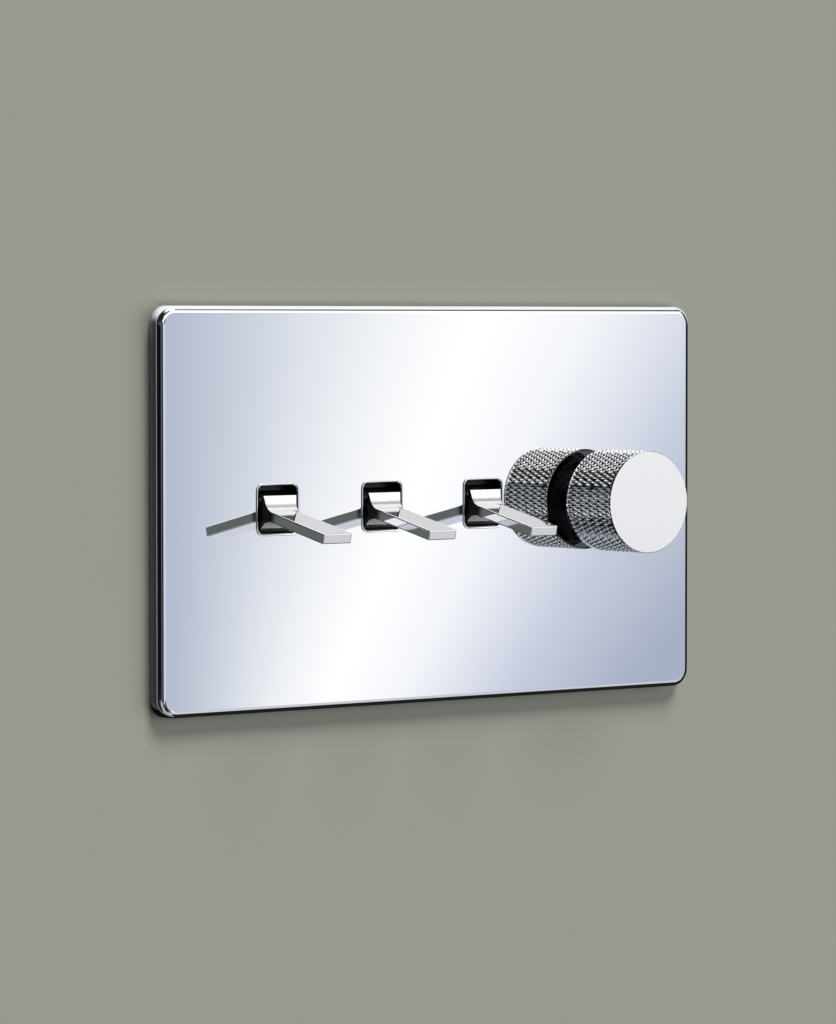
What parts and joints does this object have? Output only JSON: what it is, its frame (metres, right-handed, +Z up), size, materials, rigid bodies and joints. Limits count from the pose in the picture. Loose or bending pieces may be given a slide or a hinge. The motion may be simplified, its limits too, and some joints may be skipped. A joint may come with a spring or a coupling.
{
  "type": "four-gang light switch",
  "caption": "Mirror-chrome wall plate with flat-lever toggle switches in raised square collars and a push-and-turn dimmer with a knurled knob.",
  "frame": {"origin": "middle of the plate on the wall plane, midway between the two fixing holes", "axes": "+X to the right seen from the front, +Y into the wall, +Z up; the plate's front faces -Y"},
  "size_m": [0.146, 0.058, 0.086],
  "materials": {
    "mirror_chrome": "mirror polished",
    "lever_chrome": "polished",
    "knob_chrome": "polished knurl with a satin face",
    "black_metal": "black powder coat",
    "black_plastic": "moulded satin",
    "base_plastic": "moulded matte grey",
    "spring_steel": "bright",
    "zinc_steel": "zinc plated",
    "terminal_brass": "machined",
    "cast_aluminium": "cast, matte",
    "board_laminate": "laminate",
    "copper_winding": "lacquered winding",
    "capacitor_case": "moulded"
  },
  "bodies": {
    "switch": {"front_plate": "mirror_chrome", "mounting_frame": "black_metal", "plate_clips": "spring_steel", "module_screws": "zinc_steel", "earth_terminal": "terminal_brass", "earth_screw": "zinc_steel", "toggle_collar_1": "mirror_chrome", "pivot_pin_1": "spring_steel", "toggle_housing_1": "black_plastic", "toggle_base_1": "base_plastic", "toggle_terminals_1": "terminal_brass", "terminal_screws_1": "zinc_steel", "toggle_collar_2": "mirror_chrome", "pivot_pin_2": "spring_steel", "toggle_housing_2": "black_plastic", "toggle_base_2": "base_plastic", "toggle_terminals_2": "terminal_brass", "terminal_screws_2": "zinc_steel", "toggle_collar_3": "mirror_chrome", "pivot_pin_3": "spring_steel", "toggle_housing_3": "black_plastic", "toggle_base_3": "base_plastic", "toggle_terminals_3": "terminal_brass", "terminal_screws_3": "zinc_steel", "dimmer_housing": "black_plastic", "dimmer_heat_sink": "cast_aluminium", "dimmer_bush": "terminal_brass", "dimmer_washer": "zinc_steel", "dimmer_nut": "zinc_steel", "dimmer_control": "base_plastic", "push_switch": "black_plastic", "circuit_board": "board_laminate", "dimmer_choke": "copper_winding", "dimmer_capacitor": "capacitor_case", "dimmer_triac": "black_plastic", "dimmer_terminals": "terminal_brass", "dimmer_terminal_screws": "zinc_steel"},
    "lever_1": {"toggle_lever_1": "lever_chrome", "toggle_drum_1": "black_plastic", "toggle_plunger_1": "spring_steel", "toggle_spring_1": "spring_steel"},
    "lever_2": {"toggle_lever_2": "lever_chrome", "toggle_drum_2": "black_plastic", "toggle_plunger_2": "spring_steel", "toggle_spring_2": "spring_steel"},
    "lever_3": {"toggle_lever_3": "lever_chrome", "toggle_drum_3": "black_plastic", "toggle_plunger_3": "spring_steel", "toggle_spring_3": "spring_steel"},
    "rocker_1": {"toggle_rocker_1": "terminal_brass"},
    "rocker_2": {"toggle_rocker_2": "terminal_brass"},
    "rocker_3": {"toggle_rocker_3": "terminal_brass"},
    "rotor": {"dimmer_rotor": "base_plastic"},
    "knob": {"dimmer_knob": "knob_chrome", "knob_insert": "black_plastic", "dimmer_spindle": "spring_steel"}
  },
  "joints": [
    {"name": "toggle_1", "type": "hinge", "parent": "switch", "child": "lever_1", "pos_m": [-0.0429, 0.0006, 0], "axis": [-1, 0, 0], "range_deg": [0, 24]},
    {"name": "toggle_2", "type": "hinge", "parent": "switch", "child": "lever_2", "pos_m": [-0.0151, 0.0006, 0], "axis": [-1, 0, 0], "range_deg": [0, 24]},
    {"name": "toggle_3", "type": "hinge", "parent": "switch", "child": "lever_3", "pos_m": [0.0127, 0.0006, 0], "axis": [-1, 0, 0], "range_deg": [0, 24]},
    {"name": "rock_1", "type": "hinge", "parent": "switch", "child": "rocker_1", "pos_m": [-0.0429, 0.0134, 0], "axis": [1, 0, 0], "range_deg": [0, 16]},
    {"name": "rock_2", "type": "hinge", "parent": "switch", "child": "rocker_2", "pos_m": [-0.0151, 0.0134, 0], "axis": [1, 0, 0], "range_deg": [0, 16]},
    {"name": "rock_3", "type": "hinge", "parent": "switch", "child": "rocker_3", "pos_m": [0.0127, 0.0134, 0], "axis": [1, 0, 0], "range_deg": [0, 16]},
    {"name": "dimmer_turn", "type": "hinge", "parent": "switch", "child": "rotor", "pos_m": [0.0447, 0, 0], "axis": [0, 1, 0], "range_deg": [0, 270]},
    {"name": "dimmer_push", "type": "slide", "parent": "rotor", "child": "knob", "axis": [0, 1, 0], "range_m": [0, 0.0012], "stiffness_N_per_m": 900, "springref_m": -0.0006}
  ],
  "couplings": [
    {"joint": "rock_1", "follows": "toggle_1", "ratio": 0.66667},
    {"joint": "rock_2", "follows": "toggle_2", "ratio": 0.66667},
    {"joint": "rock_3", "follows": "toggle_3", "ratio": 0.66667}
  ]
}
